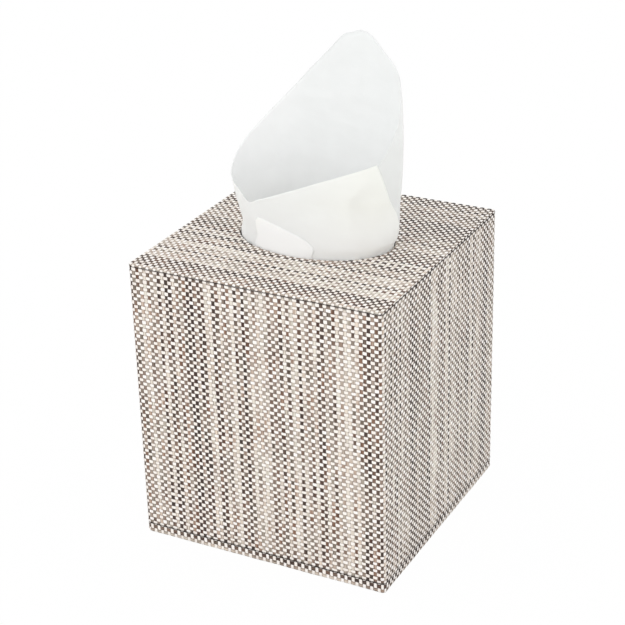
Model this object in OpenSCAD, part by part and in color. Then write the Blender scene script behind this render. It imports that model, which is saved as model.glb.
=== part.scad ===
// Cube tissue box holder: five glued boards wrapped in a woven cloth, open underneath, standing
// over a cube carton of facial tissues. One tissue is pulled up, curled, through the oval opening.
// Lengths are in millimetres and angles in degrees. The origin is the middle of the footprint, on
// the surface that the holder stands on. +Z is up and the front is the -Y side.

/* [Carton] */
// Width and depth of the cube carton that the holder fits over
carton_w = 112; // [100:1:130]
// Height of the carton
carton_h = 128; // [110:1:150]
// Thickness of the folded card
card_t = 0.5; // [0.3:0.1:0.8]
// Length of the oval window in the carton's top, along X
window_l = 94; // [90:1:96]
// Depth of the oval window, along Y
window_d = 54; // [30:1:66]
// How far the dust flaps reach in under the tissues
dust_flap_d = 36; // [15:1:45]
// How far the inner closing flap reaches in from the back
closing_flap_d = 76; // [40:1:90]
// How far the two glued flaps under the top panel reach in
top_flap_d = 14; // [6:1:20]
// Width of the glued tab that closes the card into a tube
glue_tab_w = 14; // [8:1:20]

/* [Slit film] */
// Thickness of the film
film_t = 0.3; // [0.2:0.05:0.5]
// Width of the glued border of the film round the window
film_border = 5; // [3:0.5:6]
// Gap between the film's slit and the tissue that passes through it
slit_clear = 0.3; // [0.2:0.05:0.6]

/* [Fit over the carton] */
// Gap on each side between the carton and the holder's turned-in binding
carton_gap = 3.4; // [1:0.1:6]
// Headroom between the carton's top and the holder's lining
headroom = 12; // [8:0.1:30]

/* [Boards] */
// Thickness of the four wall boards
wall_board_t = 3; // [2:0.1:6]
// Thickness of the top board
top_board_t = 3; // [2:0.1:6]

/* [Opening] */
// Length of the oval opening between its turned-in cloth, along X
opening_l = 78; // [60:0.5:84]
// Depth of the oval opening, along Y
opening_d = 52.6; // [36:0.2:60]

/* [Woven cloth] */
// Thickness of the cloth over the crowns of its threads
cloth_t = 1.2; // [0.9:0.05:2]
// Width of one thread, and so of one cell of the plain weave
thread_w = 1.9; // [1.5:0.05:3]
// How far the crown of a thread stands above the grooves beside it
thread_relief = 0.3; // [0.1:0.05:0.4]
// Flat share of a thread's width at its crown
crown_share = 0.4; // [0.2:0.05:0.6]
// Rounding of the upright corners over the cloth
corner_r = 2.2; // [2.1:0.1:4]
// Rounding of the top edge, where the top cloth turns over
top_edge_r = 0.8; // [0.4:0.1:0.85]
// Gap at a seam between two pieces of cloth
seam_gap = 0.15; // [0.1:0.05:0.4]
// Thickness of the cloth turned down into the opening
lip_t = 0.8; // [0.5:0.05:1.5]

/* [Binding] */
// Height of the binding on the outside, two rows of cells
binding_h = 5; // [3:0.1:8]
// Thickness of the binding under the boards and inside them
binding_t = 1; // [0.6:0.1:1.2]
// How far the binding reaches up inside the walls
binding_inside_h = 12; // [6:0.5:25]

/* [Lining] */
// Thickness of the lining paper
lining_t = 0.4; // [0.2:0.05:0.8]

/* [Tissue stack] */
// Gap at each end between the stack and the carton's walls, to the left and the right
stack_end_gap = 3; // [1:0.1:12]
// Gap between the stack's two legs and the carton's walls, at the front and the back
stack_gap = 2.5; // [1:0.1:6]
// Gap between the two legs of the stack, which is bent over like an arch
leg_gap = 2; // [1:0.1:6]
// Height of that gap above the carton's floor
leg_gap_h = 60; // [20:1:62]

/* [Pulled tissue] */
// Thickness of the pulled tissue
tissue_t = 0.4; // [0.3:0.05:0.5]
// Gap between the tissue and the rim of the opening
rim_gap = 0.4; // [0.3:0.05:1]
// Gap between the two layers where the curled tissue overlaps itself
lap_gap = 0.4; // [0.3:0.05:0.6]
// Bend radius at each end where the tissue is pressed flat in the slit
fold_r = 1.4; // [1.3:0.05:1.8]
// Half of the length of the tissue where it is pressed flat
flat_half_l = 43; // [35:0.5:44]
// How far the tissue reaches down below the film
tail_l = 4; // [2:0.5:8]
// How much each side of the curl spreads for each millimetre of height above the holder
spread = 0.2; // [0.05:0.002:0.24]
// How fast that spread dies away with the height
spread_loss = 0.0008; // [0.0004:0.0001:0.0009]
// How much the curl shifts to the right for each millimetre of height at its foot
side_drift = 0.074; // [0:0.002:0.1]
// How fast that shift turns back into a lean to the left with the height
lean = 0.00166; // [0:0.00002:0.002]
// Height of the sheet's tallest corner above the holder
peak_h = 95.5; // [80:0.5:110]

/* [Hidden] */

// Points round an oval, and the fineness of the small round corners
oval_n = 60;
fine = 32;
// A little more than flush, for cuts that pass through a face
past = 1;
// Gap that counts as resting on
seat_gap = 0.3;

// From the carton outwards
lined_w = carton_w + 2 * (carton_gap + binding_t);
board_inside_w = lined_w + 2 * lining_t;
board_outside_w = board_inside_w + 2 * wall_board_t;
holder_w = board_outside_w + 2 * cloth_t;
board_corner_r = corner_r - cloth_t;

// From the carton upwards
lined_z = carton_h + headroom;
top_board_z = lined_z + lining_t;
top_cloth_z = top_board_z + top_board_t;
holder_h = top_cloth_z + cloth_t;
wrap_z0 = binding_h + seam_gap;
wrap_z1 = top_cloth_z - seam_gap;

// Threads along one straight side, and their true spacing there
side_l = holder_w - 2 * corner_r;
side_threads = 2 * round(side_l / thread_w / 2);
thread_step = side_l / side_threads;
groove_w = thread_step * (1 - crown_share) / 2;

// Inside the carton
film_z = carton_h - card_t - film_t;
stack_z = 3 * card_t;
crown_z = film_z - tail_l - seat_gap;
stack_half_w = carton_w / 2 - card_t - stack_gap;
stack_l = carton_w - 2 * card_t - 2 * stack_end_gap;

// The tissue's path: the flat tail, the funnel and the curl above the holder
tail_z = crown_z + seat_gap;
funnel_z0 = carton_h + tissue_t;
funnel_z1 = top_board_z;
curl_a = opening_l / 2 - rim_gap - tissue_t / 2;
curl_b = opening_d / 2 - rim_gap - tissue_t / 2;
lap_step = tissue_t + lap_gap;
slit_half_w = fold_r + tissue_t / 2 + slit_clear;
slit_half_l = flat_half_l + tissue_t / 2 + slit_clear;

// The sheet's free edge as [turn, share of the peak height], from the outer side edge at the front
// right, over the front flap's corner, round the left, over the peak and down the inner side edge
free_edge = [
    [20, 0.02], [-1, 0.19], [-16, 0.288], [-31, 0.479],
    [-48, 0.444], [-68, 0.395], [-91, 0.326], [-111, 0.262], [-127, 0.223],
    [-134, 0.248], [-152, 0.282], [-172, 0.311], [-188, 0.37], [-203, 0.433], [-216, 0.491],
    [-230, 0.567], [-245, 0.669], [-259, 0.776], [-271, 0.868], [-279, 0.931], [-283, 0.959],
    [-290, 0.98], [-299, 1], [-304, 0.991], [-309, 0.963], [-314, 0.932], [-328, 0.881],
    [-342, 0.828], [-352, 0.77], [-370, 0.63], [-390, 0.47], [-410, 0.3]
];
// Turns between which the end of the sheet steps inwards to pass under its beginning
lap_turn0 = -275;
lap_turn1 = -335;
// Widest turn between two columns, and rows from the film up to the holder's top and above it
column_turn = 14;
rows_below = 4;
rows_above = 5;

// A rounded square, centred, with true arcs
module rounded_square(w, r) {
    square([w - 2 * r, w], center = true);
    square([w, w - 2 * r], center = true);
    for (x = [-1, 1], y = [-1, 1])
        translate([x * (w / 2 - r), y * (w / 2 - r)])
            circle(r = r, $fn = fine);
}

// Points of an oval with half length a and half depth b
function oval(a, b) = [for (i = [0:oval_n - 1]) [a * cos(360 * i / oval_n), b * sin(360 * i / oval_n)]];

// An oval column of height h
module oval_column(a, b, h) {
    linear_extrude(height = h) polygon(oval(a, b));
}

// A point turned about the origin, from the front side to the side that is n quarter turns on
function quarter_turn(p, n) = [
    p[0] * cos(90 * n) - p[1] * sin(90 * n),
    p[0] * sin(90 * n) + p[1] * cos(90 * n)
];

// A point of a rounded corner between the front and the right side
function corner_point(a, r) = [
    side_l / 2 + r * sin(a),
    -side_l / 2 - r * cos(a)
];

// The front side of the cloth seen from above: one flat crown for each thread, a groove between
function ribbed_side() = [
    for (k = [0:side_threads - 1])
        let(x = -side_l / 2 + k * thread_step)
        each [
            [x, -holder_w / 2 + thread_relief],
            [x + groove_w, -holder_w / 2],
            [x + thread_step - groove_w, -holder_w / 2]
        ]
];

// The front side of one row of the binding: every second cell is raised to a ridge, the ones between
// are sunk
function checked_side(shift) = [
    for (k = [0:side_threads / 2 - 1])
        let(x = -side_l / 2 + (2 * k + shift) * thread_step)
        each [
            [x, -holder_w / 2 + thread_relief],
            [x + thread_step / 2, -holder_w / 2],
            [x + thread_step, -holder_w / 2 + thread_relief]
        ]
];

// A side and the corner after it, repeated round the four sides
function closed_outline(side) = [
    for (n = [0:3])
        each [
            for (p = concat(side, [for (a = [0:22.5:90]) corner_point(a, corner_r - thread_relief / 2)]))
                quarter_turn(p, n)
        ]
];

// A prism of the space inside the cloth
module board_space(z0, z1) {
    translate([0, 0, z0])
        linear_extrude(height = z1 - z0)
            rounded_square(board_outside_w, board_corner_r);
}

// A full-width wall board on the front side
module wide_wall() {
    intersection() {
        translate([-board_outside_w / 2, -board_outside_w / 2, binding_t])
            cube([board_outside_w, wall_board_t, top_board_z - binding_t]);
        board_space(binding_t, top_board_z);
    }
}

// A wall board on the left side, between the two full-width ones
module narrow_wall() {
    translate([-board_outside_w / 2, -board_inside_w / 2, binding_t])
        cube([wall_board_t, board_inside_w, top_board_z - binding_t]);
}

module front_board() {
    color("burlywood") wide_wall();
}

module back_board() {
    color("burlywood") mirror([0, 1, 0]) wide_wall();
}

module left_board() {
    color("tan") narrow_wall();
}

module right_board() {
    color("tan") mirror([1, 0, 0]) narrow_wall();
}

// Lies on the four walls; its hole leaves room for the cloth that is turned down into it
module top_board() {
    color("wheat") difference() {
        board_space(top_board_z, top_cloth_z);
        translate([0, 0, top_board_z - past])
            oval_column(opening_l / 2 + lip_t, opening_d / 2 + lip_t, top_board_t + 2 * past);
    }
}

// One length of cloth round the four walls, its coloured threads upright
module woven_wall_wrap() {
    color("rosybrown") difference() {
        translate([0, 0, wrap_z0])
            linear_extrude(height = wrap_z1 - wrap_z0)
                polygon(closed_outline(ribbed_side()));
        board_space(wrap_z0 - past, wrap_z1 + past);
    }
}

// Section of the top cloth across its threads, with round edges
function top_section() = concat(
    [[-holder_w / 2, 0], [holder_w / 2, 0]],
    [for (a = [0:22.5:90])
        [holder_w / 2 - top_edge_r * (1 - cos(a)), cloth_t - thread_relief / 2 - top_edge_r * (1 - sin(a))]],
    [for (k = [side_threads - 1:-1:0])
        let(x = -side_l / 2 + k * thread_step)
        each [
            [x + thread_step, cloth_t - thread_relief],
            [x + thread_step - groove_w, cloth_t],
            [x + groove_w, cloth_t]
        ]],
    [[-side_l / 2, cloth_t - thread_relief]],
    [for (a = [90:22.5:180])
        [-holder_w / 2 + top_edge_r * (1 + cos(a)), cloth_t - thread_relief / 2 - top_edge_r * (1 - sin(a))]]
);

// The same round edges for the two ends of the threads
function end_section() = concat(
    [[-holder_w / 2, -past], [holder_w / 2, -past]],
    [for (a = [0:22.5:90])
        [holder_w / 2 - top_edge_r * (1 - cos(a)), cloth_t - top_edge_r * (1 - sin(a))]],
    [for (a = [90:22.5:180])
        [-holder_w / 2 + top_edge_r * (1 + cos(a)), cloth_t - top_edge_r * (1 - sin(a))]]
);

// The top cloth, its coloured threads along X, turned down into the opening as a lip
module woven_top_cover() {
    color("thistle") difference() {
        union() {
            intersection() {
                translate([0, 0, top_cloth_z])
                    rotate([90, 0, 90])
                        linear_extrude(height = holder_w, center = true) polygon(top_section());
                translate([0, 0, top_cloth_z])
                    rotate([90, 0, 0])
                        linear_extrude(height = holder_w, center = true) polygon(end_section());
                translate([0, 0, top_cloth_z])
                    linear_extrude(height = cloth_t) rounded_square(holder_w, corner_r);
            }
            translate([0, 0, top_board_z])
                oval_column(opening_l / 2 + lip_t, opening_d / 2 + lip_t, top_board_t + cloth_t / 2);
        }
        translate([0, 0, top_board_z - past])
            oval_column(opening_l / 2, opening_d / 2, top_board_t + cloth_t + 2 * past);
    }
}

// A strip of the same cloth folded round the bottom edge: two rows of cells outside, a tongue inside
module woven_bottom_binding() {
    row_h = binding_h / 2;
    clear_w = lined_w - 2 * binding_t;
    color("peru") {
        difference() {
            for (row = [0, 1])
                translate([0, 0, row * row_h])
                    linear_extrude(height = row_h) polygon(closed_outline(checked_side(row)));
            board_space(binding_t, binding_h + past);
            translate([0, 0, -past])
                linear_extrude(height = binding_h + 2 * past)
                    square(clear_w, center = true);
        }
        linear_extrude(height = binding_inside_h)
            difference() {
                square(lined_w, center = true);
                square(clear_w, center = true);
            }
    }
}

// Paper inside the four walls
module wall_lining() {
    color("whitesmoke") translate([0, 0, binding_t])
        linear_extrude(height = top_board_z - binding_t)
            difference() {
                square(board_inside_w, center = true);
                square(lined_w, center = true);
            }
}

// Paper under the top board
module top_lining() {
    color("white") difference() {
        translate([0, 0, lined_z])
            linear_extrude(height = lining_t) square(lined_w, center = true);
        translate([0, 0, lined_z - past])
            oval_column(opening_l / 2 + lip_t, opening_d / 2 + lip_t, lining_t + 2 * past);
    }
}

// The folded card carton: walls, top panel with its window, and its glued flaps
module tissue_carton() {
    inside_w = carton_w - 2 * card_t;
    color("skyblue") {
        linear_extrude(height = carton_h)
            difference() {
                square(carton_w, center = true);
                square(inside_w, center = true);
            }
        // The tab that closes the tube, glued inside the right wall
        translate([inside_w / 2 - card_t, -inside_w / 2, 0])
            cube([card_t, glue_tab_w, carton_h]);
        // Outer closing flap over the whole bottom, then the inner one from the back
        linear_extrude(height = card_t) square(carton_w, center = true);
        translate([-inside_w / 2, inside_w / 2 - closing_flap_d, card_t])
            cube([inside_w, closing_flap_d, card_t]);
        // Dust flaps from the left and the right
        for (side = [0, 1])
            mirror([side, 0, 0])
                translate([-inside_w / 2, -inside_w / 2, 2 * card_t])
                    cube([dust_flap_d, inside_w, card_t]);
        // Top panel with the oval window
        difference() {
            translate([0, 0, carton_h - card_t])
                linear_extrude(height = card_t) square(carton_w, center = true);
            translate([0, 0, carton_h - card_t - past])
                oval_column(window_l / 2, window_d / 2, card_t + 2 * past);
        }
        // Glued flaps under the top panel at the front and the back
        for (side = [0, 1])
            mirror([0, side, 0])
                translate([-inside_w / 2, -inside_w / 2, carton_h - 2 * card_t])
                    cube([inside_w, top_flap_d, card_t]);
    }
}

// Film glued under the top panel, slit along its middle
module slit_film() {
    color("aliceblue") translate([0, 0, film_z])
        linear_extrude(height = film_t)
            difference() {
                square([window_l + 2 * film_border, window_d + 2 * film_border], center = true);
                square([2 * (slit_half_l - slit_half_w), 2 * slit_half_w], center = true);
                for (x = [-1, 1])
                    translate([x * (slit_half_l - slit_half_w), 0])
                        circle(r = slit_half_w, $fn = fine);
            }
}

// The folded tissues, bent over like an arch, crown up
module tissue_stack() {
    color("white")
        rotate([90, 0, 90])
            linear_extrude(height = stack_l, center = true)
                difference() {
                    union() {
                        translate([-stack_half_w, stack_z])
                            square([2 * stack_half_w, crown_z - stack_half_w - stack_z]);
                        translate([0, crown_z - stack_half_w])
                            circle(r = stack_half_w, $fn = 4 * fine);
                    }
                    translate([-leg_gap / 2, stack_z - past])
                        square([leg_gap, leg_gap_h + past]);
                    translate([-2 * stack_half_w, stack_z - 4 * stack_half_w])
                        square([4 * stack_half_w, 4 * stack_half_w]);
                }
}

// Height of the sheet's free edge above the holder at a turn; lookup wants rising keys
function edge_h(turn) = peak_h * lookup(-turn, [for (p = free_edge) [-p[0], p[1]]]);

// Turns of the sheet's columns: the free edge's own, and evenly between two that are far apart
turns = [
    for (i = [0:len(free_edge) - 2])
        let(gap = free_edge[i][0] - free_edge[i + 1][0])
        let(steps = ceil(gap / column_turn))
        for (k = [0:steps - 1]) free_edge[i][0] - gap * k / steps,
    free_edge[len(free_edge) - 1][0]
];

// Smooth step from 0 to 1
function ease(t) = let(u = min(1, max(0, t))) u * u * (3 - 2 * u);

// How far inside the sheet's beginning the sheet runs at a turn
function lap_inset(turn) = lap_step * ease((lap_turn0 - turn) / (lap_turn0 - lap_turn1));

// The curled section at height h above the holder
function curl_point(turn, h) =
    let(in = lap_inset(turn))
    let(up = max(0, h))
    [
        (curl_a - in + spread * up - spread_loss * up * up) * cos(turn) + side_drift * up - lean * up * up,
        (curl_b - in) * sin(turn)
    ];

// The flattened section in the slit: two straight runs joined by round ends
end_turn = 25;
function wrap_turn(turn) = turn - 360 * floor((turn + end_turn) / 360);
function flat_point(turn) =
    let(r = fold_r - lap_inset(turn))
    let(run = flat_half_l - fold_r)
    let(t = wrap_turn(turn))
    let(s = (t < end_turn) ? t / end_turn * 90
        : (t < 180 - end_turn) ? 90
        : (t < 180 + end_turn) ? 90 + (t - 180 + end_turn) / end_turn * 90
        : 270)
    let(x = (t < end_turn) ? run
        : (t < 180 - end_turn) ? run * (1 - 2 * (t - end_turn) / (180 - 2 * end_turn))
        : (t < 180 + end_turn) ? -run
        : run * (-1 + 2 * (t - 180 - end_turn) / (180 - 2 * end_turn)))
    [x + r * cos(s), r * sin(s)];

// Middle of the sheet at a turn and a height
function sheet_point(turn, z) =
    let(flat = 1 - ease((z - funnel_z0) / (funnel_z1 - funnel_z0)))
    let(c = curl_point(turn, z - holder_h))
    let(f = flat_point(turn))
    [c[0] + (f[0] - c[0]) * flat, c[1] + (f[1] - c[1]) * flat, z];

// Heights of one column's points
function column_z(turn) = concat(
    [tail_z],
    [for (j = [0:rows_below - 1]) funnel_z0 + (holder_h - funnel_z0) * j / rows_below],
    [for (j = [0:rows_above]) holder_h + edge_h(turn) * j / rows_above]
);

// One curled sheet from the slit up to its free edge
module pulled_tissue() {
    columns = len(turns);
    rows = rows_below + rows_above + 2;
    middle = [for (t = turns) [for (z = column_z(t)) sheet_point(t, z)]];
    // Unit normals, pointing into the curl
    normals = [
        for (i = [0:columns - 1]) [
            for (j = [0:rows - 1])
                let(along = middle[min(i + 1, columns - 1)][j] - middle[max(i - 1, 0)][j])
                let(up = middle[i][min(j + 1, rows - 1)] - middle[i][max(j - 1, 0)])
                let(n = cross(along, up))
                n / norm(n)
        ]
    ];
    outer = [for (i = [0:columns - 1], j = [0:rows - 1]) middle[i][j] - normals[i][j] * tissue_t / 2];
    inner = [for (i = [0:columns - 1], j = [0:rows - 1]) middle[i][j] + normals[i][j] * tissue_t / 2];
    back = columns * rows;
    strips = concat(
        [for (i = [0:columns - 2], j = [0:rows - 2])
            let(a = i * rows + j)
            each [
                [a, a + rows, a + rows + 1, a + 1],
                [back + a + 1, back + a + rows + 1, back + a + rows, back + a]
            ]],
        [for (i = [0:columns - 2])
            let(a = i * rows)
            let(b = a + rows - 1)
            each [
                [a + rows, a, back + a, back + a + rows],
                [b, b + rows, back + b + rows, back + b]
            ]],
        [for (j = [0:rows - 2])
            let(a = j)
            let(b = (columns - 1) * rows + j)
            each [
                [a, a + 1, back + a + 1, back + a],
                [b + 1, b, back + b, back + b + 1]
            ]]
    );
    triangles = [for (q = strips) each [[q[0], q[1], q[2]], [q[0], q[2], q[3]]]];
    color("ghostwhite") polyhedron(points = concat(outer, inner), faces = triangles);
}

front_board();
back_board();
left_board();
right_board();
top_board();
woven_wall_wrap();
woven_top_cover();
woven_bottom_binding();
wall_lining();
top_lining();
tissue_carton();
slit_film();
tissue_stack();
pulled_tissue();
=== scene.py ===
"""The looks of a cube tissue box holder: woven cloth on its walls, top and bottom edge, and a curled tissue."""

import math

import bpy
import numpy as np
from mathutils import Matrix, Vector


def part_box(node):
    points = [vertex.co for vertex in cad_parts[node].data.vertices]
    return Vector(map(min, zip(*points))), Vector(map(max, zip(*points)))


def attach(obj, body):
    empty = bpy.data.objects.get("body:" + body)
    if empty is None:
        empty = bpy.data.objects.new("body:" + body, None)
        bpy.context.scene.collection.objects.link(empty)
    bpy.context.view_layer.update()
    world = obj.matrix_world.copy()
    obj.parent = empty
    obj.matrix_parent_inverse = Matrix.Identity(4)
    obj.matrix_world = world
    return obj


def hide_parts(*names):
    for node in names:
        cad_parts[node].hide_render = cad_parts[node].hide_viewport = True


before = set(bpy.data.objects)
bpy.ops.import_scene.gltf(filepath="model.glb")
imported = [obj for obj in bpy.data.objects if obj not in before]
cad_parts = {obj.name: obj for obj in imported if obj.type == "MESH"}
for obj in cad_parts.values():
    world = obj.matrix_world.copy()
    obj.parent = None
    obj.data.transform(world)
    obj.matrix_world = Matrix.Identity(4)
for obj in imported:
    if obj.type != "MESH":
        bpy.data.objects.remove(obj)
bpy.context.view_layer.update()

# Lengths in this script are millimetres; meshes are scaled to metres when they are made
MM = 0.001


def box_mm(node):
    """Lowest and highest corner of a node, in millimetres."""
    low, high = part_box(node)
    return np.array(low) / MM, np.array(high) / MM


wrap_low, wrap_high = box_mm("woven_wall_wrap")
cover_low, cover_high = box_mm("woven_top_cover")
binding_low, binding_high = box_mm("woven_bottom_binding")

# The holder
HALF_W = wrap_high[0]
WRAP_Z0 = wrap_low[2]
WRAP_Z1 = wrap_high[2]
HOLDER_H = cover_high[2]
LIP_Z = cover_low[2]
CORNER_R = 2.2
CORE_HALF = HALF_W - CORNER_R
OPENING_A = 39.0
OPENING_B = 26.3

# The weave: threads on one straight side, threads round one corner, and rows on a wall
SIDE_THREADS = 66
CORNER_THREADS = 2
AROUND = 4 * (SIDE_THREADS + CORNER_THREADS)
STEP = 2 * CORE_HALF / SIDE_THREADS
WALL_ROWS = 72
# Depth between cells, the share of a crown's height that its edges have, and the lowest crown
RELIEF = 0.34
EDGE_SHARE = 0.36
LOWEST_CROWN = 0.82
# How far threads wander, and how often that is smoothed along them
WOBBLE = 0.13
WANDER_PASSES = 12

# Slow changes of the coloured threads' tone and hue: the front from left to right, and the top towards the
# back.
# The right side's coloured threads are a step darker and cooler: painted shade on the side away from the key
# light.
FRONT_FADE = (0.08, -0.13)
RIGHT_SHADE_DARKER = 0.08
BACK_DARKER = 0.36
RIGHT_SHADE_COOLER = 0.4
BACK_COOLER = 0.5

# The seams: radius of a cut edge, how far it reaches into the seam, how deep the cloth goes behind it, and a
# level of painted seam shade deep in the seams that darkens the pale threads too
SEAM_R = 0.1
SEAM_CLOSE = 0.06
BACKING = 1.1
DEEP = 6.0

# The top cloth
TOP_EDGE_R = 0.8
RIM_R = 0.9
TOP_SHEET_T = 0.55
SEAM_Z = WRAP_Z1 + 0.09

# The binding
BINDING_H = WRAP_Z0 - 0.15
BINDING_TOP = binding_high[2]
BINDING_REACH = 5.6
BINDING_R = 0.8
BINDING_ROW_H = BINDING_H / 2
BINDING_DARKER = 0.3


def srgb(red, green, blue):
    """A colour given as it looks on a screen, from 0 to 255, as linear light."""
    def linear(c):
        c = c / 255
        return c / 12.92 if c <= 0.04045 else ((c + 0.055) / 1.055) ** 2.4
    return (linear(red), linear(green), linear(blue), 1.0)


class Shader:
    """A material under construction, with short calls for its nodes."""

    def __init__(self, name):
        self.material = bpy.data.materials.new(name)
        self.material.use_nodes = True
        self.tree = self.material.node_tree
        self.tree.nodes.clear()
        self.output = self.node("ShaderNodeOutputMaterial")
        self.surface = self.node("ShaderNodeBsdfPrincipled")
        self.join(self.surface.outputs[0], self.output.inputs["Surface"])

    def node(self, kind, **settings):
        made = self.tree.nodes.new(kind)
        for key, value in settings.items():
            setattr(made, key, value)
        return made

    def join(self, source, target):
        """Links a socket, or sets the number or colour that is given instead."""
        if isinstance(source, bpy.types.NodeSocket):
            self.tree.links.new(source, target)
        else:
            target.default_value = source

    def math(self, operation, a, b=0.0, c=0.0, clamp=False):
        made = self.node("ShaderNodeMath", operation=operation, use_clamp=clamp)
        for source, target in zip((a, b, c), made.inputs):
            self.join(source, target)
        return made.outputs[0]

    def range(self, value, low, high, to_low, to_high):
        made = self.node("ShaderNodeMapRange", clamp=True)
        for source, target in zip((value, low, high, to_low, to_high), made.inputs):
            self.join(source, target)
        return made.outputs[0]

    def vector(self, x, y=0.0, z=0.0):
        made = self.node("ShaderNodeCombineXYZ")
        for source, target in zip((x, y, z), made.inputs):
            self.join(source, target)
        return made.outputs[0]

    def chance(self, x, y=0.0):
        """A fixed random number from 0 to 1 for each pair of whole numbers."""
        made = self.node("ShaderNodeTexWhiteNoise", noise_dimensions="2D")
        self.join(self.vector(x, y), made.inputs["Vector"])
        return made.outputs["Value"]

    def noise(self, vector, scale=1.0, detail=2.0):
        made = self.node("ShaderNodeTexNoise", noise_dimensions="3D")
        self.join(vector, made.inputs["Vector"])
        made.inputs["Scale"].default_value = scale
        made.inputs["Detail"].default_value = detail
        return made.outputs["Fac"]

    def mark(self, name):
        """A number that the mesh has at each point."""
        return self.node("ShaderNodeAttribute", attribute_name=name).outputs["Fac"]

    def object_place(self, x=1.0, y=1.0, z=1.0):
        """The place on the object in metres, stretched along its axes."""
        place = self.node("ShaderNodeTexCoord").outputs["Object"]
        made = self.node("ShaderNodeVectorMath", operation="MULTIPLY")
        self.join(place, made.inputs[0])
        made.inputs[1].default_value = (x, y, z)
        return made.outputs[0]

    def ramp(self, factor, stops):
        made = self.node("ShaderNodeValToRGB")
        elements = made.color_ramp.elements
        elements[0].position, elements[0].color = stops[0]
        elements[1].position, elements[1].color = stops[-1]
        for position, colour in stops[1:-1]:
            elements.new(position).color = colour
        self.join(factor, made.inputs[0])
        return made.outputs["Color"]

    def mix(self, factor, a, b, blend="MIX"):
        made = self.node("ShaderNodeMix", data_type="RGBA", blend_type=blend)
        self.join(factor, made.inputs[0])
        self.join(a, made.inputs[6])
        self.join(b, made.inputs[7])
        return made.outputs[2]

    def bump(self, height, distance, strength=1.0):
        made = self.node("ShaderNodeBump")
        made.inputs["Strength"].default_value = strength
        made.inputs["Distance"].default_value = distance * MM
        self.join(height, made.inputs["Height"])
        self.join(made.outputs[0], self.surface.inputs["Normal"])


WARP_TONES = [
    (0.00, srgb(60, 42, 34)),
    (0.14, srgb(76, 57, 48)),
    (0.30, srgb(110, 90, 78)),
    (0.48, srgb(145, 127, 115)),
    (0.66, srgb(178, 163, 151)),
    (0.84, srgb(210, 197, 184)),
    (1.00, srgb(234, 226, 214)),
]
WARP_TINTS = [
    (0.0, srgb(255, 220, 194)), (0.3, srgb(255, 246, 238)),
    (0.65, srgb(251, 253, 251)), (1.0, srgb(236, 248, 243)),
]
WEFT_TONES = [(0.0, srgb(243, 235, 228)), (0.5, srgb(251, 246, 239)), (1.0, srgb(255, 251, 248))]
# Dark brown in the seams and down inside the opening: partly the coloured threads there, partly painted shade
SEAM_SHADE_BROWN = srgb(44, 32, 28)
# Strands in a coloured thread, threads in a group, and how much wider a pale cell is
STRANDS = 3
GROUP_THREADS = 3.0
PALE_WIDTH = 0.34
# What a coloured thread's tone is made of, and what is taken off their sum
OWN_SHARE = 0.84
GROUP_SHARE = 0.14
DRIFT_SHARE = 1.15
STRAND_SHARE = 0.26
FLECK_SHARE = 0.6
TONE_SHIFT = 1.0


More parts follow.
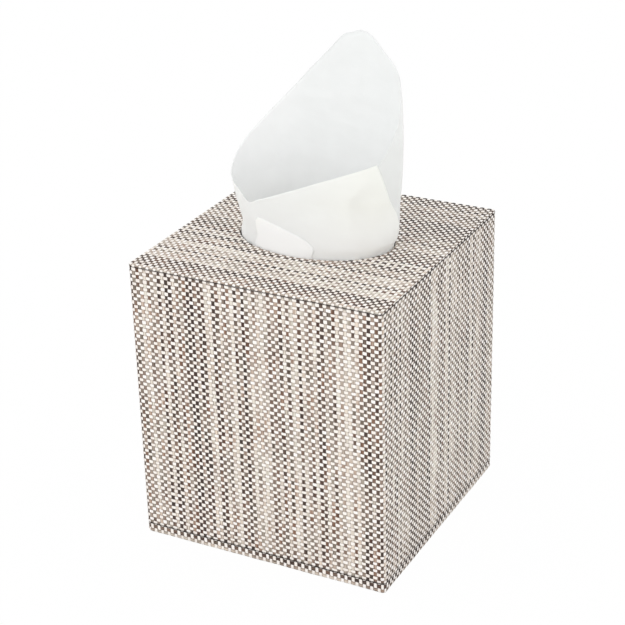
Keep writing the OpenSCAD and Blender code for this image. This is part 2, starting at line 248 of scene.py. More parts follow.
def cloth_material():
    """Plain weave: pale glossy threads over and under coloured ones. The map's first coordinate counts the
    coloured threads and its second one the pale threads."""
    m = Shader("woven_cloth")
    split = m.node("ShaderNodeSeparateXYZ")
    m.join(m.node("ShaderNodeUVMap", uv_map="threads").outputs[0], split.inputs[0])
    across, along = split.outputs[0], split.outputs[1]
    thread = m.math("FLOOR", across)
    row = m.math("FLOOR", along)
    strand = m.math("FLOOR", m.math("MULTIPLY", across, STRANDS))

    # Pale cells are a little wider than their thread and coloured ones a little longer
    wave_across = m.math("SINE", m.math("MULTIPLY", across, math.pi))
    wave_along = m.math("SINE", m.math("MULTIPLY", along, math.pi))
    cell_across = m.math("ABSOLUTE", wave_across)
    cell_along = m.math("ABSOLUTE", wave_along)
    side = m.math("MULTIPLY", m.math("SUBTRACT", cell_along, cell_across), PALE_WIDTH)
    cell = m.math("MULTIPLY_ADD", wave_across, wave_along, side)
    coloured = m.math("LESS_THAN", cell, 0.0)

    # Tone of a coloured thread: its own, its group's, a slow drift along it and its strands
    own = m.chance(thread, 3.0)
    group = m.chance(m.math("FLOOR", m.math("DIVIDE", thread, GROUP_THREADS)), 7.0)
    drift = m.noise(m.vector(m.math("MULTIPLY", thread, 3.7), m.math("MULTIPLY", along, 0.085)), detail=1.0)
    strand_own = m.chance(strand, 11.0)
    flecks = m.noise(m.vector(m.math("MULTIPLY", strand, 5.3), m.math("MULTIPLY", along, 0.4)), detail=1.0)
    tone = 0.0
    for part, share in (
            (own, OWN_SHARE), (group, GROUP_SHARE), (drift, DRIFT_SHARE),
            (strand_own, STRAND_SHARE), (flecks, FLECK_SHARE)):
        tone = m.math("MULTIPLY_ADD", part, share, tone)
    tone = m.math("SUBTRACT", tone, TONE_SHIFT)
    # darker lowers the tone: slow changes of the threads, and painted shade on the right side
    tone = m.math("SUBTRACT", tone, m.mark("darker"))
    warp = m.ramp(tone, WARP_TONES)
    tint = m.noise(m.vector(m.math("MULTIPLY", thread, 9.1), m.math("MULTIPLY", along, 0.13)), detail=0.0)
    tinted = m.range(tone, 0.35, 0.8, 1.0, 0.25)
    # cooler shifts the hue: towards the top's back, and painted shade on the right side
    hue = m.math("ADD", m.range(tint, 0.3, 0.7, 0.0, 1.0), m.mark("cooler"))
    warp = m.mix(tinted, warp, m.ramp(hue, WARP_TINTS), "MULTIPLY")
    strand_wave = m.math("ABSOLUTE", m.math("SINE", m.math("MULTIPLY", across, STRANDS * math.pi)))
    # Painted shade in the grooves between a coloured thread's strands
    warp = m.mix(m.range(strand_wave, 0.0, 0.4, 0.35, 0.0), warp, srgb(90, 76, 68), "MULTIPLY")

    # Tone of a pale thread
    weft = m.ramp(m.chance(thread, row), WEFT_TONES)
    weft_wave = m.math("ABSOLUTE", m.math("SINE", m.math("MULTIPLY", along, 2 * math.pi)))

    # Painted shade: cells darken towards their borders, where a thread dives under the next one
    colour = m.mix(coloured, weft, warp)
    border = m.math("ABSOLUTE", cell)
    colour = m.mix(m.range(border, 0.0, 0.28, 0.85, 0.0), colour, srgb(118, 97, 84), "MULTIPLY")
    # In the seams and down inside the opening the cells go dark brown: partly the coloured threads that fill
    # the seams, partly painted shade; pale cells darken less, except deep in the seams
    painted_crease_shade = m.math("MULTIPLY", m.mark("crease_shade"), m.range(coloured, 0.0, 1.0, 0.15, 1.0), clamp=True)
    colour = m.mix(painted_crease_shade, colour, SEAM_SHADE_BROWN)
    m.join(colour, m.surface.inputs["Base Color"])
    m.join(m.range(coloured, 0.0, 1.0, 0.46, 0.72), m.surface.inputs["Roughness"])
    fine = m.noise(m.vector(m.math("MULTIPLY", across, 6.0), m.math("MULTIPLY", along, 6.0)))
    ridge = m.mix(coloured, weft_wave, strand_wave)
    m.bump(m.math("MULTIPLY_ADD", fine, 0.35, m.math("MULTIPLY", ridge, 0.65)), 0.09, 0.8)
    return m.material


def tissue_material():
    """Soft two-ply tissue: matt, nearly white, with fine crepe lines, soft dents and faint mottling. Light
    passes through it where it lies single. Painted light and shade: the outside a little warmer and lighter
    than the inside of the curl, the outside lighter near the foot and darker to the right, and the inside
    lighter at the left and darker towards the top."""
    m = Shader("tissue_paper")
    mottle = m.noise(m.object_place(), scale=90.0, detail=3.0)
    outside = m.ramp(mottle, [(0.3, srgb(248, 249, 243)), (0.7, srgb(250, 251, 245))])
    # The inside's darker, cooler tone is painted shade inside the curl
    inside = m.ramp(mottle, [(0.3, srgb(239, 241, 240)), (0.7, srgb(242, 244, 243))])
    split = m.node("ShaderNodeSeparateXYZ")
    m.join(m.object_place(), split.inputs[0])
    to_right, up = split.outputs[0], split.outputs[2]
    foot = HOLDER_H * MM
    # Painted light: the outside is lighter near the foot
    outside = m.mix(m.range(up, foot + 0.006, foot + 0.026, 1.0, 0.0), outside, srgb(252, 253, 251))
    # Painted shade: the outside darkens towards the right
    outside = m.mix(m.range(to_right, 0.012, 0.045, 0.0, 1.0), outside, (0.95, 0.95, 0.95, 1.0), "MULTIPLY")
    # Painted shade on the outer side of the sheet's inner end
    outside = m.mix(m.mark("shade"), outside, (0.86, 0.865, 0.885, 1.0), "MULTIPLY")
    # Painted light: the inside is lighter at the left
    inside = m.mix(m.range(to_right, -0.045, -0.015, 1.0, 0.0), inside, srgb(253, 254, 253))
    # Painted shade: the inside darkens towards the top
    inside = m.mix(
        m.range(up, foot + 0.03, foot + 0.078, 0.0, 1.0), inside, (0.885, 0.89, 0.885, 1.0), "MULTIPLY")
    colour = m.mix(m.mark("inner_side"), outside, inside)
    single = m.mark("single")
    colour = m.mix(single, colour, (0.915, 0.918, 0.92, 1.0), "MULTIPLY")
    # The folded-back corner is painted lighter: partly its doubled paper, partly painted light
    colour = m.mix(m.mark("folded_back"), colour, srgb(250, 251, 251))
    m.join(colour, m.surface.inputs["Base Color"])
    m.join(m.range(single, 0.0, 1.0, 0.0, 0.8), m.surface.inputs["Subsurface Weight"])
    m.surface.inputs["Subsurface Radius"].default_value = (1.0, 1.0, 1.0)
    m.surface.inputs["Subsurface Scale"].default_value = 0.6 * MM
    m.surface.inputs["Roughness"].default_value = 0.9
    crepe = m.noise(m.object_place(300.0, 300.0, 1400.0), scale=1.0, detail=2.0)
    fibres = m.noise(m.object_place(), scale=2600.0, detail=2.0)
    dents = m.noise(m.object_place(0.8, 1.0, 1.2), scale=75.0, detail=1.5)
    fine = m.math("MULTIPLY_ADD", crepe, 0.018, m.math("MULTIPLY", fibres, 0.012))
    m.bump(m.math("MULTIPLY_ADD", dents, 0.9, fine), 1.0, 1.0)
    return m.material


def paper_material(name, low, high, scale, roughness, stretch=(1.0, 1.0, 1.0)):
    """Card or paper with fibres: two tones by noise, and a fine bump."""
    m = Shader(name)
    fibres = m.noise(m.object_place(*stretch), scale=scale, detail=4.0)
    m.join(m.ramp(fibres, [(0.3, low), (0.7, high)]), m.surface.inputs["Base Color"])
    m.surface.inputs["Roughness"].default_value = roughness
    m.bump(fibres, 0.04, 0.4)
    return m.material


def film_material():
    """Thin clear film, faintly hazy."""
    m = Shader("clear_film")
    haze = m.noise(m.object_place(), scale=220.0, detail=2.0)
    tint = m.ramp(haze, [(0.3, srgb(232, 238, 242)), (0.7, srgb(246, 249, 251))])
    m.join(tint, m.surface.inputs["Base Color"])
    m.join(m.range(haze, 0.3, 0.7, 0.08, 0.2), m.surface.inputs["Roughness"])
    m.surface.inputs["Alpha"].default_value = 0.3
    return m.material


def make_piece(name, points, faces, material, threads=None, marks=None):
    """A smooth mesh object from points in millimetres. threads gives each face corner its place in the weave,
    and marks names a number for each point."""
    mesh = bpy.data.meshes.new(name)
    mesh.from_pydata((np.asarray(points) * MM).tolist(), [], faces)
    if threads is not None:
        layer = mesh.uv_layers.new(name="threads")
        layer.data.foreach_set("uv", np.asarray(threads, np.float32).ravel())
    for mark, values in (marks or {}).items():
        layer = mesh.attributes.new(mark, "FLOAT", "POINT")
        layer.data.foreach_set("value", np.asarray(values, np.float32))
    mesh.shade_smooth()
    mesh.materials.append(material)
    piece = bpy.data.objects.new(name, mesh)
    bpy.context.scene.collection.objects.link(piece)
    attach(piece, "root")
    return piece


def crown_height(across, along):
    """Height of the cloth's surface from 0 between four cells to 1 on a crown, by its thread coordinates."""
    a = np.abs(np.sin(np.pi * across))
    b = np.abs(np.sin(np.pi * along))
    return EDGE_SHARE * (a + b) + (1 - 2 * EDGE_SHARE) * a * b


def smooth_rows(values, passes):
    """Averages each row of values with its neighbours in the row, as a closed ring."""
    for _ in range(passes):
        values = (np.roll(values, 1, axis=1) + 2 * values + np.roll(values, -1, axis=1)) / 4
    return values / values.std()


# Half-cell stations round the holder, from the left end of the front side, against the clock from above
side_stations = np.linspace(-1, 1, 2 * SIDE_THREADS + 1)[:-1]
corner_stations = np.linspace(0, math.pi / 2, 2 * CORNER_THREADS + 1)[:-1]
STATIONS = 2 * AROUND


def outline_point(offset, slide=0.0):
    """Points of the holder's outline, inset by offset, at each station. slide moves them along the outline."""
    half = HALF_W - offset
    radius = np.maximum(CORNER_R - offset, 0.3)
    straight = half - radius
    offset = np.broadcast_to(offset, (STATIONS,))
    points = []
    per_side = len(side_stations) + len(corner_stations)
    for n in range(4):
        part = slice(n * per_side, (n + 1) * per_side)
        reach = np.broadcast_to(straight, (STATIONS,))[part]
        round_r = np.broadcast_to(radius, (STATIONS,))[part]
        out = np.broadcast_to(half, (STATIONS,))[part]
        shift = np.broadcast_to(slide, (STATIONS,))[part]
        count = len(side_stations)
        x = np.concatenate([
            side_stations * reach[:count] + shift[:count] * (1 - side_stations ** 8),
            reach[count:] + round_r[count:] * np.sin(corner_stations),
        ])
        y = np.concatenate([
            -out[:count],
            -reach[count:] - round_r[count:] * np.cos(corner_stations),
        ])
        cos, sin = math.cos(n * math.pi / 2), math.sin(n * math.pi / 2)
        points.append(np.stack([x * cos - y * sin, x * sin + y * cos], axis=1))
    return np.concatenate(points)


def profile_path(*moves):
    """A line and arc path as dense points, with the length walked at each. A move is (x, z) for a straight
    stretch, or (x, z, cx, cz) for a quarter arc about a centre."""
    dense = [np.array(moves[0], float)]
    for move in moves[1:]:
        start, end = dense[-1], np.array(move[:2], float)
        steps = np.linspace(0, 1, 25)[1:]
        if len(move) == 2:
            dense += [start + (end - start) * t for t in steps]
        else:
            centre = np.array(move[2:], float)
            a, b = start - centre, end - centre
            dense += [centre + a * math.cos(t * math.pi / 2) + b * math.sin(t * math.pi / 2) for t in steps]
    dense = np.array(dense)
    walked = np.concatenate([[0], np.cumsum(np.linalg.norm(np.diff(dense, axis=0), axis=1))])
    return dense, walked


def swept_ring(name, path, stops, backing, upwards, origin, row_h, crease_ends, seed, wobble, darker=0.0):
    """A closed band of cloth round the holder. path is its section seen as (inset, height), stops are the
    lengths along it at which it gets a ring, and backing the section's plain points behind the cloth. A path
    that goes upwards has upright coloured threads; one that goes downwards has level ones. crease_ends gives
    rings painted seam shade at the front and back and at the sides."""
    dense, walked = path
    section = np.stack([np.interp(stops, walked, dense[:, k]) for k in (0, 1)], axis=1)
    before = np.stack([np.interp(np.array(stops) - 0.01, walked, dense[:, k]) for k in (0, 1)], axis=1)
    after = np.stack([np.interp(np.array(stops) + 0.01, walked, dense[:, k]) for k in (0, 1)], axis=1)
    tangent = after - before
    tangent /= np.linalg.norm(tangent, axis=1)[:, None]
    outward = np.stack([-tangent[:, 1], tangent[:, 0]], axis=1) * (1 if upwards else -1)
    rng = np.random.default_rng(seed)
    rows = len(stops)
    along = (np.array(stops) - origin) / row_h
    around = np.arange(STATIONS) / 2
    # Threads wander a little: sideways along their length
    upright = smooth_rows(rng.normal(size=(STATIONS, rows)), WANDER_PASSES).T * wobble
    level = smooth_rows(rng.normal(size=(rows, STATIONS)), WANDER_PASSES) * wobble
    heights = rng.uniform(LOWEST_CROWN, 1.0, size=(rows, STATIONS))
    points = []
    for j in range(rows):
        inner = 0 < j < rows - 1
        crown = crown_height(around, np.full(STATIONS, along[j])) * heights[j]
        sunk = RELIEF * (1 - crown)
        inset = section[j, 0] - outward[j, 0] * sunk
        z = section[j, 1] - outward[j, 1] * sunk + (level[j] * abs(tangent[j, 1]) if inner else 0)
        xy = outline_point(inset, upright[j] if inner else 0.0)
        points.append(np.column_stack([xy, z]))
    for inset, z in backing:
        points.append(np.column_stack([outline_point(inset), np.full(STATIONS, z)]))
    rings = len(points)
    thread_rows = np.concatenate([along, np.linspace(along[-1], along[-1] + 0.2, len(backing) + 1)[1:]])
    faces, threads = [], []
    for j in range(rings):
        k = (j + 1) % rings
        v0, v1 = thread_rows[j], thread_rows[k] if k else thread_rows[-1] + 0.1
        for i in range(STATIONS):
            n = (i + 1) % STATIONS
            face = [j * STATIONS + i, j * STATIONS + n, k * STATIONS + n, k * STATIONS + i]
            u0, u1 = i / 2, (i + 1) / 2
            corners = [(u0, v0), (u1, v0), (u1, v1), (u0, v1)]
            if not upwards:
                face.reverse()
                corners = [(c[1], c[0]) for c in reversed(corners)]
            faces.append(face)
            threads += corners
    threads = np.array(threads) + THREAD_ORIGIN[name]
    # Painted shade in the seams, ring by ring
    crease_shade = np.zeros((rings, STATIONS))
    quarter = np.arange(STATIONS) // (STATIONS // 4)
    on_side = quarter % 2
    for row, front, side in crease_ends:
        crease_shade[row] = front + (side - front) * on_side
    crease_shade[rows:] = DEEP
    # The darker tone fades out towards two opposite corners, the front's own fade crosses its side, and the
    # right side gets a step of painted shade, darker and cooler
    slow = 0.5 - 0.5 * np.cos(4 * math.pi * np.arange(STATIONS) / STATIONS)
    fade = np.interp(np.arange(STATIONS) / (STATIONS // 4), (0, 1), FRONT_FADE) * (quarter == 0)
    tone = np.tile(darker * slow + RIGHT_SHADE_DARKER * (quarter == 1) + fade, rings)
    marks = {
        "crease_shade": crease_shade.ravel(), "darker": tone, "cooler": np.tile(RIGHT_SHADE_COOLER * (quarter == 1), rings)}
    return make_piece(name, np.concatenate(points), faces, cloth, threads, marks)


# Where each piece of cloth starts in the endless weave, so that no two have the same threads
THREAD_ORIGIN = {
    "woven_wall_cloth": np.array([223.0, 20.0]),
    "woven_top_cloth": np.array([700.0, 400.0]),
    "woven_edge_binding": np.array([1300.0, 60.0]),
}


# Painted seam shade of the rings at the cloth's ends, counted from its lower end, or from its upper end if
# negative: the ring, the shade at the front and back, and the one at the sides. The binding's rings count from
# its top.
WALL_CREASES = [
    (0, 1.0, 1.0), (1, 1.0, 1.0), (2, 0.9, 0.9), (3, 0.5, 0.5),
    (-4, 0.3, 0.2), (-3, 0.9, 0.9), (-2, 1.0, DEEP), (-1, 1.0, DEEP),
]
BINDING_CREASES = [(0, 1.0, 1.0), (1, 1.0, 1.0), (2, 0.5, 0.5)]


def half_steps(first, last):
    """Whole and half cells from first to last."""
    return np.arange(round(2 * first), round(2 * last) + 1) / 2


def wall_cloth():
    """The cloth round the four walls, its coloured threads upright. Its ends nearly close the seams."""
    low, high = WRAP_Z0 - SEAM_CLOSE, WRAP_Z1 + SEAM_CLOSE
    path = profile_path(
        (BACKING, low), (SEAM_R, low), (0, low + SEAM_R, SEAM_R, low + SEAM_R),
        (0, high - SEAM_R), (SEAM_R, high, SEAM_R, high - SEAM_R), (BACKING, high))
    total = path[1][-1]
    lead = BACKING - SEAM_R + SEAM_R * math.pi / 4
    rows = np.linspace(lead, total - lead, 2 * WALL_ROWS + 1)
    stops = np.concatenate([[0.1, lead - 0.3], rows, [total - lead + 0.3, total - 0.1]])
    return swept_ring(
        "woven_wall_cloth", path, stops, [], True, lead, (rows[-1] - rows[0]) / WALL_ROWS,
        WALL_CREASES, 5, WOBBLE)


def binding_cloth():
    """The strip of cloth folded round the bottom edge, its coloured threads along the edge."""
    inner = BINDING_REACH
    high = BINDING_H + SEAM_CLOSE
    path = profile_path(
        (BACKING, high), (SEAM_R, high), (0, high - SEAM_R, SEAM_R, high - SEAM_R),
        (0, BINDING_R), (BINDING_R, 0, BINDING_R, BINDING_R), (inner - SEAM_R, 0),
        (inner, SEAM_R, inner - SEAM_R, SEAM_R), (inner, BINDING_TOP - SEAM_R),
        (inner - SEAM_R, BINDING_TOP, inner - SEAM_R, BINDING_TOP - SEAM_R))
    lead = BACKING - SEAM_R + SEAM_R * math.pi / 4
    total = path[1][-1]
    count = round((total - lead) / BINDING_ROW_H * 2)
    rows = np.linspace(lead, total, count + 1)
    stops = np.concatenate([[0.1, lead - 0.3], rows])
    behind = [(inner - 0.95, BINDING_TOP - 0.05), (inner - 0.95, 0.95), (1.15, 0.95)]
    return swept_ring(
        "woven_edge_binding", path, stops, behind, False, lead, BINDING_ROW_H,
        BINDING_CREASES, 9, WOBBLE * 0.6, BINDING_DARKER)


def nearest_on_oval(points):
    """The opening's nearest point to each point, its outward normal there, and the distance outside it."""
    x, y = points[:, 0], points[:, 1]
    t = np.arctan2(y * OPENING_A, x * OPENING_B)
    for _ in range(30):
        ex, ey = OPENING_A * np.cos(t), OPENING_B * np.sin(t)
        dx, dy = -OPENING_A * np.sin(t), OPENING_B * np.cos(t)
        slope = dx * dx + dy * dy - (ex - x) * ex - (ey - y) * ey
        t = t - np.clip(((ex - x) * dx + (ey - y) * dy) / np.maximum(slope, 50.0), -0.2, 0.2)
    near = np.stack([OPENING_A * np.cos(t), OPENING_B * np.sin(t)], axis=1)
    normal = np.stack([np.cos(t) / OPENING_A, np.sin(t) / OPENING_B], axis=1)
    normal /= np.linalg.norm(normal, axis=1)[:, None]
    return near, normal, ((points - near) * normal).sum(axis=1)


def over_edge(points):
    """Bends the flat top cloth over the holder's top edge. Gives places and unit normals."""
    core = HALF_W - TOP_EDGE_R
    corner = core - (CORNER_R - TOP_EDGE_R)
    sign = np.sign(points)
    p = np.abs(points)
    w = p - corner
    in_corner = (w > 0).all(axis=1)
    length = np.maximum(np.linalg.norm(w, axis=1), 1e-9)
    arc_q = corner + w / length[:, None] * (CORNER_R - TOP_EDGE_R)
    q = np.where(in_corner[:, None] & (length > CORNER_R - TOP_EDGE_R)[:, None], arc_q, np.minimum(p, core))
    d = np.linalg.norm(p - q, axis=1)
    n = (p - q) / np.maximum(d, 1e-9)[:, None]
    straight = HOLDER_H - TOP_EDGE_R - SEAM_Z
    d_end = TOP_EDGE_R * math.pi / 2 + straight
    past_end = d > d_end + 1e-6
    d = np.minimum(d, d_end)
    turn = np.minimum(d / TOP_EDGE_R, math.pi / 2)
    drop = np.maximum(d - TOP_EDGE_R * math.pi / 2, 0)
    xy = (q + n * (TOP_EDGE_R * np.sin(turn))[:, None]) * sign
    z = HOLDER_H - TOP_EDGE_R * (1 - np.cos(turn)) - drop
    normal = np.column_stack([n * sign * np.sin(turn)[:, None], np.cos(turn)])
    # Painted shade in the seam below the top edge, much stronger at the left and right sides
    crease_shade = np.clip((d - d_end + 0.45 + 0.1 * n[:, 1]) / 0.4, 0, 1) * (1 + 5 * n[:, 0])
    return np.column_stack([xy, z]), normal, past_end, crease_shade


def top_cloth():
    """The cloth over the top, its coloured threads along X, turned over the edge and into the opening."""
    flat_half = (HALF_W - TOP_EDGE_R + TOP_EDGE_R * math.pi / 2 + HOLDER_H - TOP_EDGE_R - SEAM_Z) / STEP
    edge_start = (HALF_W - TOP_EDGE_R) / STEP
    side_half = SIDE_THREADS // 2
    middle = half_steps(-side_half, side_half)
    edge_middle = (edge_start + flat_half) / 2
    edge = np.array([side_half + 0.5, edge_start, edge_middle - 0.12, edge_middle + 0.12, flat_half])
    lines = np.concatenate([-edge[::-1], middle, edge]) * STEP
    count = len(lines)
    rng = np.random.default_rng(21)
    flat = np.stack(np.meshgrid(lines, lines, indexing="ij"), axis=-1)
    # Threads don't wander at the cloth's edge
    bend = np.clip((HALF_W - 1 - np.abs(flat)) / 4, 0, 1)
    wander = np.stack([
        smooth_rows(rng.normal(size=(count, count)), WANDER_PASSES),
        smooth_rows(rng.normal(size=(count, count)), WANDER_PASSES).T], axis=-1) * WOBBLE
    drawn = (flat + wander * bend.min(axis=-1)[..., None]).reshape(-1, 2)
    # The weave's own coordinates stay with the cloth while its threads wander
    weave = flat.reshape(-1, 2) / STEP
    near, normal, outside = nearest_on_oval(drawn)
    ring_start = RIM_R + 0.35

    index = np.arange(count * count).reshape(count, count)
    quads = np.stack([index[:-1, :-1], index[1:, :-1], index[1:, 1:], index[:-1, 1:]], axis=-1).reshape(-1, 4)
    places, normals, past_end, creases = over_edge(drawn)
    keep = outside[quads].mean(axis=1) > ring_start
    keep &= ~past_end[quads].all(axis=1)
    quads = quads[keep]

    # The border of the hole is drawn onto one even line round the opening
    ends = {}
    for quad in quads:
        for a, b in zip(quad, np.roll(quad, -1)):
            ends[(a, b)] = True
    loop_next = {a: b for a, b in ends if (b, a) not in ends and outside[a] < 4 and outside[b] < 4}
    start = next(iter(loop_next))
    loop = [start]
    while loop_next[loop[-1]] != start:
        loop.append(loop_next[loop[-1]])
    loop = np.array(loop)
    moved = near[loop] + normal[loop] * ring_start
    weave[loop] += (moved - drawn[loop]) / STEP
    drawn[loop] = moved
    places[loop, :2] = moved

    crown = crown_height(weave[:, 0], weave[:, 1]) * rng.uniform(LOWEST_CROWN, 1.0, len(weave))
    points = places - normals * (RELIEF * (1 - crown))[:, None]

    # Rings from there over the rim and down into the opening
    depth = HOLDER_H - RIM_R - LIP_Z - 0.05
    rim_arc = RIM_R * math.pi / 2
    walk = np.concatenate([np.linspace(-0.2, rim_arc, 6), rim_arc + np.linspace(0.7, depth, 4)])
    base = len(points)
    ring_points, ring_weave, ring_crease = [], [], []
    for s in walk:
        turn = min(max(s, 0) / RIM_R, math.pi / 2)
        drop = max(s - rim_arc, 0)
        away = RIM_R * (1 - math.sin(turn)) + max(-s, 0)
        xy = near[loop] + normal[loop] * away
        w = weave[loop] + normal[loop] * ((RIM_R - s) - ring_start) / STEP
        up = np.column_stack([-normal[loop] * math.sin(turn), np.full(len(loop), math.cos(turn))])
        c = crown_height(w[:, 0], w[:, 1])
        z = HOLDER_H - RIM_R * (1 - math.cos(turn)) - drop
        ring_points.append(np.column_stack([xy, np.full(len(loop), z)]) - up * (RELIEF * (1 - c))[:, None])
        ring_weave.append(w)
        # Painted shade that deepens down inside the opening
        ring_crease.append(np.full(len(loop), min(max(s - rim_arc, 0) / 3, 0.6)))
    points = np.concatenate([points] + ring_points)
    weave = np.concatenate([weave] + ring_weave)
    creases = np.concatenate([creases] + ring_crease)
    rows = [loop] + [base + k * len(loop) + np.arange(len(loop)) for k in range(len(walk))]
    strips = []
    for low, high in zip(rows[:-1], rows[1:]):
        strips.append(np.stack([np.roll(low, -1), low, high, np.roll(high, -1)], axis=1))
    quads = np.concatenate([quads] + strips)

    used = np.unique(quads)
    renumber = np.full(len(points), -1)
    renumber[used] = np.arange(len(used))
    # Coloured threads run along X, so they are counted along Y
    threads = weave[quads.reshape(-1)][:, ::-1] + THREAD_ORIGIN["woven_top_cloth"]
    back = points[used, 1] / HALF_W
    marks = {
        "crease_shade": creases[used], "cooler": BACK_COOLER * (0.5 + back / 2),
        "darker": BACK_DARKER * np.clip((back + 0.3) / 1.3, 0, 1)}
    piece = make_piece("woven_top_cloth", points[used], renumber[quads].tolist(), cloth, threads, marks)
    shell = piece.modifiers.new("thickness", "SOLIDIFY")
    shell.thickness = TOP_SHEET_T * MM
    shell.offset = -1
    return piece


# The pulled tissue follows the same rules as its solid
TISSUE_T = 0.1
CAD_TISSUE_T = 0.4
FREE_EDGE = [
    (20, 0.02), (-1, 0.19), (-16, 0.288), (-31, 0.479),
    (-48, 0.444), (-68, 0.395), (-91, 0.326), (-111, 0.262), (-127, 0.223),
    (-134, 0.248), (-152, 0.282), (-172, 0.311), (-188, 0.37), (-203, 0.433), (-216, 0.491),
    (-230, 0.567), (-245, 0.669), (-259, 0.776), (-271, 0.868), (-279, 0.931), (-283, 0.959),
    (-290, 0.98), (-299, 1), (-304, 0.991), (-309, 0.963), (-314, 0.932), (-328, 0.881),
    (-342, 0.828), (-352, 0.77), (-370, 0.63), (-390, 0.47), (-410, 0.3),
]
FLAP_CORNER = -31
PEAK_H = 95.5
RIM_GAP = 0.4
LAP_STEP = 0.2
LAP_TURNS = (-275, -335)
SPREAD = 0.192
SPREAD_LOSS = 0.0008
SIDE_DRIFT = 0.074
LEAN = 0.00166
# At its foot the curl is drawn in from the left, bulges to the right and then goes back: how far, and within
# which height
FOOT_IN, FOOT_IN_H = 0.5, 6
FOOT_OUT, FOOT_OUT_H = 0.25, 12
BULGE, BULGE_H = 0.95, 4
BULGE_BACK, BULGE_BACK_H = 2.4, 20
FOLD_R = 1.4
FLAT_HALF = 43
END_TURN = 25
END_SLANT = 16
TAIL_Z = 123.2
CARTON_H = 128.0
FUNNEL_Z0 = CARTON_H + CAD_TISSUE_T
FUNNEL_Z1 = LIP_Z
CURL_A = OPENING_A - RIM_GAP - CAD_TISSUE_T / 2
CURL_B = OPENING_B - RIM_GAP - CAD_TISSUE_T / 2


# Free edge of the folded corner as (turn, height above the holder)
FOLD_EDGE = [
    (-124, 7), (-122, 12.5), (-119, 14.6), (-114, 15), (-109, 14.6), (-103, 13.7), (-97, 12.6), (-91, 11.3),
    (-86, 10.1), (-81, 8.4), (-77.5, 6.4), (-75.5, 4.3), (-74, 0.8),
]
FOLD_GAP = 0.13
FOLD_LIFT = 0.35
FOLD_STEP = 1.2
FOLD_DEPTH = 3.5
# Columns and rows of the sheet, below the holder's top and above it
COLUMN_TURN = 1.5
ROWS_BELOW = 16
ROWS_ABOVE = 31
# Where the sheet begins, and where it ends under its beginning
FIRST_TURN = 20
LAST_TURN = -411
COVERED_TURN = FIRST_TURN - 360


def ease(t):
    """A smooth step from 0 to 1."""
    u = np.clip(t, 0, 1)
    return u * u * (3 - 2 * u)


def edge_height(turn):
    """Height of the free edge above the holder: a smooth curve, but sharp at the flap's corner."""
    keys = -np.array([p[0] for p in FREE_EDGE], float)
    shares = np.array([p[1] for p in FREE_EDGE])
    slopes = np.gradient(shares, keys)
    gaps = np.diff(shares) / np.diff(keys)
    corner = int(np.argmin(np.abs(keys + FLAP_CORNER)))
    after, before = slopes.copy(), slopes.copy()
    before[corner] = gaps[corner - 1]
    after[corner] = gaps[corner]
    k = np.clip(np.searchsorted(keys, -turn, side="right") - 1, 0, len(keys) - 2)
    width = keys[k + 1] - keys[k]
    t = np.clip((-turn - keys[k]) / width, 0, 1)
    value = ((1 + 2 * t) * (1 - t) ** 2 * shares[k] + t * (1 - t) ** 2 * width * after[k]
             + t * t * (3 - 2 * t) * shares[k + 1] + t * t * (t - 1) * width * before[k + 1])
    return PEAK_H * value


def tissue_place(turn, z, out=0.0):
    """Middle of the tissue at a turn and a height, or a place further out."""
    inset = LAP_STEP * ease((LAP_TURNS[0] - turn) / (LAP_TURNS[0] - LAP_TURNS[1])) - out
    up = np.maximum(0, z - HOLDER_H)
    angle = np.radians(turn)
    soft = ease(up / 30)
    wave = soft * (0.45 * np.sin(3 * angle + 0.045 * up + 0.6) + 0.3 * np.sin(5 * angle - 0.07 * up))
    foot = FOOT_IN * ease(up / FOOT_IN_H)
    spread = SPREAD * up - SPREAD_LOSS * up ** 2
    half_l = CURL_A - inset + wave - foot + FOOT_OUT * ease(up / FOOT_OUT_H) + spread
    # The bulge rises slower at the left
    bulge = BULGE * ease(up / (BULGE_H + 2 - 2 * np.cos(angle))) - BULGE_BACK * ease((up - 3) / BULGE_BACK_H)
    curl_x = half_l * np.cos(angle) + SIDE_DRIFT * up - LEAN * up ** 2 + foot + bulge
    curl_y = (CURL_B - inset + wave) * np.sin(angle)
    radius = FOLD_R - inset
    run = FLAT_HALF - FOLD_R
    t = turn - 360 * np.floor((turn + END_TURN) / 360)
    middle = 180 - 2 * END_TURN
    bend = np.where(t < END_TURN, t / END_TURN * 90,
                    np.where(t < 180 - END_TURN, 90,
                             np.where(t < 180 + END_TURN, 90 + (t - 180 + END_TURN) / END_TURN * 90, 270)))
    flat_x = np.where(t < END_TURN, run,
                      np.where(t < 180 - END_TURN, run * (1 - 2 * (t - END_TURN) / middle),
                               np.where(t < 180 + END_TURN, -run,
                                        run * (-1 + 2 * (t - 180 - END_TURN) / middle))))
    flat_x = flat_x + radius * np.cos(np.radians(bend))
    flat_y = radius * np.sin(np.radians(bend))
    flat = 1 - ease((z - FUNNEL_Z0) / (FUNNEL_Z1 - FUNNEL_Z0))
    return np.stack([curl_x + (flat_x - curl_x) * flat, curl_y + (flat_y - curl_y) * flat, z], axis=-1)


